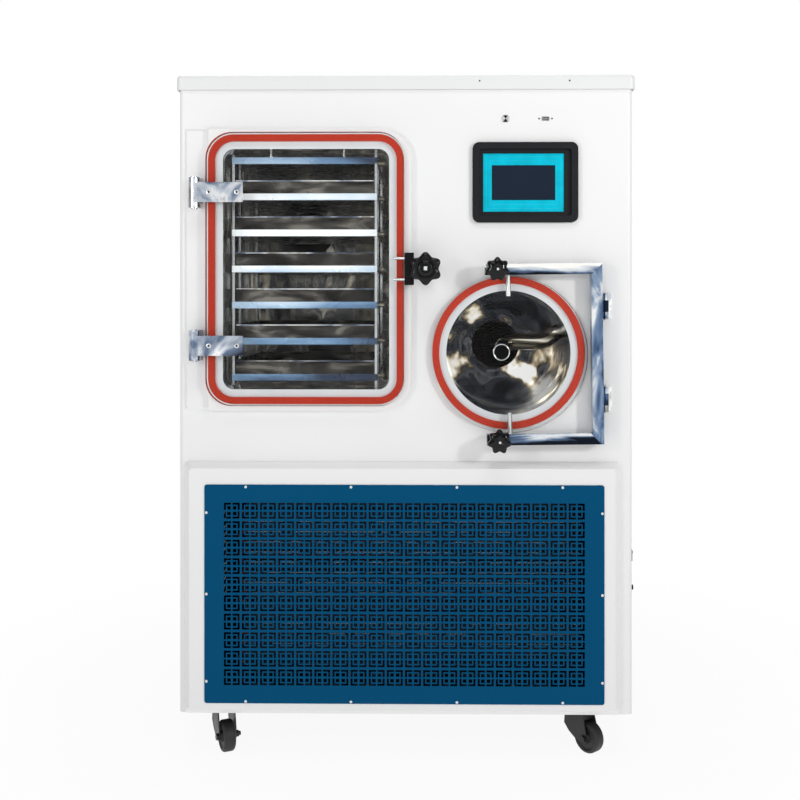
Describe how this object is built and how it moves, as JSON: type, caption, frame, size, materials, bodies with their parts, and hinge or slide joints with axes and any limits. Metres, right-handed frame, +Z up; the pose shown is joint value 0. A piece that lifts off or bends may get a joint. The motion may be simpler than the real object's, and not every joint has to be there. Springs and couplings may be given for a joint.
{
  "type": "freeze dryer",
  "caption": "White cabinet on casters with a tray chamber behind a clear hinged door, a round cold trap with a clear door in a swinging yoke, a touch panel and a blue fretwork grille.",
  "frame": {"origin": "on the floor under the middle of the machine's overall box", "axes": "+X to the right seen from the front, +Y to the rear, +Z up; the front faces -Y"},
  "size_m": [1.1, 0.9798, 1.645],
  "materials": {
    "cabinet_paint": "satin white powder coat",
    "cap_paint": "satin light grey powder coat",
    "frame_paint": "matte dark grey paint",
    "grille_paint": "satin deep blue powder coat",
    "chamber_steel": "polished stainless steel",
    "shelf_steel": "polished stainless steel",
    "tray_steel": "dull stainless steel",
    "hose_steel": "braided stainless hose",
    "gasket_rubber": "matte red silicone",
    "clear_acrylic": "clear polished acrylic",
    "hinge_steel": "satin stainless steel",
    "bright_steel": "bright steel",
    "black_plastic": "matte black",
    "knob_plastic": "gloss black",
    "trap_steel": "polished stainless steel",
    "pipe_steel": "satin stainless steel",
    "yoke_steel": "brushed stainless steel",
    "screen_frame": "gloss black",
    "screen_panel": "teal overlay round a dark screen",
    "port_metal": "plated steel shell",
    "rocker_plastic": "gloss red",
    "coil_metal": "plain aluminium fins with copper tubes",
    "fan_metal": "dark paint",
    "compressor_paint": "gloss black paint",
    "caster_paint": "satin black",
    "wheel_rubber": "black rubber tread"
  },
  "bodies": {
    "cabinet": {"base_pan": "frame_paint", "inner_frame": "frame_paint", "front_panel": "cabinet_paint", "left_panel": "cabinet_paint", "right_panel": "cabinet_paint", "rear_panel": "cabinet_paint", "top_cap": "cap_paint", "lower_cover": "cabinet_paint", "grille_plate": "grille_paint", "chamber_bezel": "cabinet_paint", "chamber_shell": "chamber_steel", "chamber_gasket": "gasket_rubber", "shelf_stack": "shelf_steel", "tray_1": "tray_steel", "tray_2": "tray_steel", "tray_3": "tray_steel", "tray_4": "tray_steel", "tray_5": "tray_steel", "tray_6": "tray_steel", "oil_hoses": "hose_steel", "hinge_brackets": "hinge_steel", "hinge_pins": "bright_steel", "clamp_bushes": "bright_steel", "trap_vessel": "trap_steel", "trap_gasket": "gasket_rubber", "suction_pipe": "pipe_steel", "screen_bezel": "screen_frame", "touch_screen": "screen_panel", "button_collar": "bright_steel", "data_port": "port_metal", "switch_frame": "black_plastic", "fuse_holder": "black_plastic", "condenser_coil": "coil_metal", "fan_shroud": "frame_paint", "compressors": "compressor_paint", "vapour_duct": "pipe_steel", "cable_gland": "black_plastic"},
    "chamber_door": {"chamber_door": "clear_acrylic", "door_hinge_leaves": "hinge_steel", "latch_block": "black_plastic"},
    "chamber_knob_washer": {"chamber_knob_washer": "bright_steel"},
    "chamber_knob": {"chamber_knob": "knob_plastic"},
    "yoke": {"yoke": "yoke_steel", "disc_pins": "bright_steel", "trap_disc": "clear_acrylic"},
    "upper_knob_washer": {"upper_knob_washer": "bright_steel"},
    "upper_knob": {"upper_knob": "knob_plastic"},
    "lower_knob_washer": {"lower_knob_washer": "bright_steel"},
    "lower_knob": {"lower_knob": "knob_plastic"},
    "push_button": {"push_button": "bright_steel"},
    "power_rocker": {"power_rocker": "rocker_plastic"},
    "front_left_fork": {"front_left_fork": "caster_paint"},
    "front_left_wheel": {"front_left_wheel": "wheel_rubber"},
    "front_right_fork": {"front_right_fork": "caster_paint"},
    "front_right_wheel": {"front_right_wheel": "wheel_rubber"},
    "rear_left_fork": {"rear_left_fork": "caster_paint"},
    "rear_left_wheel": {"rear_left_wheel": "wheel_rubber"},
    "rear_right_fork": {"rear_right_fork": "caster_paint"},
    "rear_right_wheel": {"rear_right_wheel": "wheel_rubber"},
    "condenser_fan": {"condenser_fan": "fan_metal"}
  },
  "joints": [
    {"name": "chamber_door_hinge", "type": "hinge", "parent": "cabinet", "child": "chamber_door", "pos_m": [-0.499, -0.4301, 1.179], "axis": [0, 0, -1], "range_deg": [0, 120]},
    {"name": "chamber_knob_advance", "type": "slide", "parent": "chamber_door", "child": "chamber_knob_washer", "axis": [0, 1, 0], "range_m": [0, 0.0105]},
    {"name": "chamber_knob_turn", "type": "hinge", "parent": "chamber_knob_washer", "child": "chamber_knob", "pos_m": [0.048, -0.4471, 1.179], "axis": [0, 1, 0], "range_deg": [0, 2160]},
    {"name": "yoke_swing", "type": "hinge", "parent": "cabinet", "child": "yoke", "pos_m": [0.478, -0.4004, 0.98], "axis": [0, 0, 1], "range_deg": [0, 110]},
    {"name": "upper_knob_advance", "type": "slide", "parent": "yoke", "child": "upper_knob_washer", "axis": [0, 1, 0], "range_m": [0, 0.0105]},
    {"name": "upper_knob_turn", "type": "hinge", "parent": "upper_knob_washer", "child": "upper_knob", "pos_m": [0.21556, -0.4471, 1.17781], "axis": [0, 1, 0], "range_deg": [0, 2160]},
    {"name": "lower_knob_advance", "type": "slide", "parent": "yoke", "child": "lower_knob_washer", "axis": [0, 1, 0], "range_m": [0, 0.0105]},
    {"name": "lower_knob_turn", "type": "hinge", "parent": "lower_knob_washer", "child": "lower_knob", "pos_m": [0.22048, -0.4471, 0.77584], "axis": [0, 1, 0], "range_deg": [0, 2160]},
    {"name": "push_button_press", "type": "slide", "parent": "cabinet", "child": "push_button", "axis": [0, 1, 0], "range_m": [0, 0.002], "stiffness_N_per_m": 300, "springref_m": -0.002},
    {"name": "power_rocker_tilt", "type": "hinge", "parent": "cabinet", "child": "power_rocker", "pos_m": [0.54, -0.3661, 0.491], "axis": [0, -1, 0], "range_deg": [0, 16]},
    {"name": "front_left_swivel", "type": "hinge", "parent": "cabinet", "child": "front_left_fork", "pos_m": [-0.452, -0.3101, 0.1], "axis": [0, 0, 1], "continuous": true},
    {"name": "front_left_roll", "type": "hinge", "parent": "front_left_fork", "child": "front_left_wheel", "pos_m": [-0.43848, -0.3391, 0.0375], "axis": [0.9063, 0.4226, 0], "continuous": true},
    {"name": "front_right_swivel", "type": "hinge", "parent": "cabinet", "child": "front_right_fork", "pos_m": [0.428, -0.3101, 0.1], "axis": [0, 0, 1], "continuous": true},
    {"name": "front_right_roll", "type": "hinge", "parent": "front_right_fork", "child": "front_right_wheel", "pos_m": [0.44857, -0.33461, 0.0375], "axis": [0.766, 0.6428, 0], "continuous": true},
    {"name": "rear_left_swivel", "type": "hinge", "parent": "cabinet", "child": "rear_left_fork", "pos_m": [-0.452, 0.3799, 0.1], "axis": [0, 0, 1], "continuous": true},
    {"name": "rear_left_roll", "type": "hinge", "parent": "rear_left_fork", "child": "rear_left_wheel", "pos_m": [-0.43848, 0.3509, 0.0375], "axis": [0.9063, 0.4226, 0], "continuous": true},
    {"name": "rear_right_swivel", "type": "hinge", "parent": "cabinet", "child": "rear_right_fork", "pos_m": [0.428, 0.3799, 0.1], "axis": [0, 0, 1], "continuous": true},
    {"name": "rear_right_roll", "type": "hinge", "parent": "rear_right_fork", "child": "rear_right_wheel", "pos_m": [0.44857, 0.35539, 0.0375], "axis": [0.766, 0.6428, 0], "continuous": true},
    {"name": "condenser_fan_spin", "type": "hinge", "parent": "cabinet", "child": "condenser_fan", "pos_m": [0.018, -0.2201, 0.397], "axis": [0, 1, 0], "continuous": true}
  ],
  "couplings": [
    {"joint": "chamber_knob_advance", "follows": "chamber_knob_turn", "m_per_rad": 0.00027851},
    {"joint": "upper_knob_advance", "follows": "upper_knob_turn", "m_per_rad": 0.00027851},
    {"joint": "lower_knob_advance", "follows": "lower_knob_turn", "m_per_rad": 0.00027851}
  ]
}
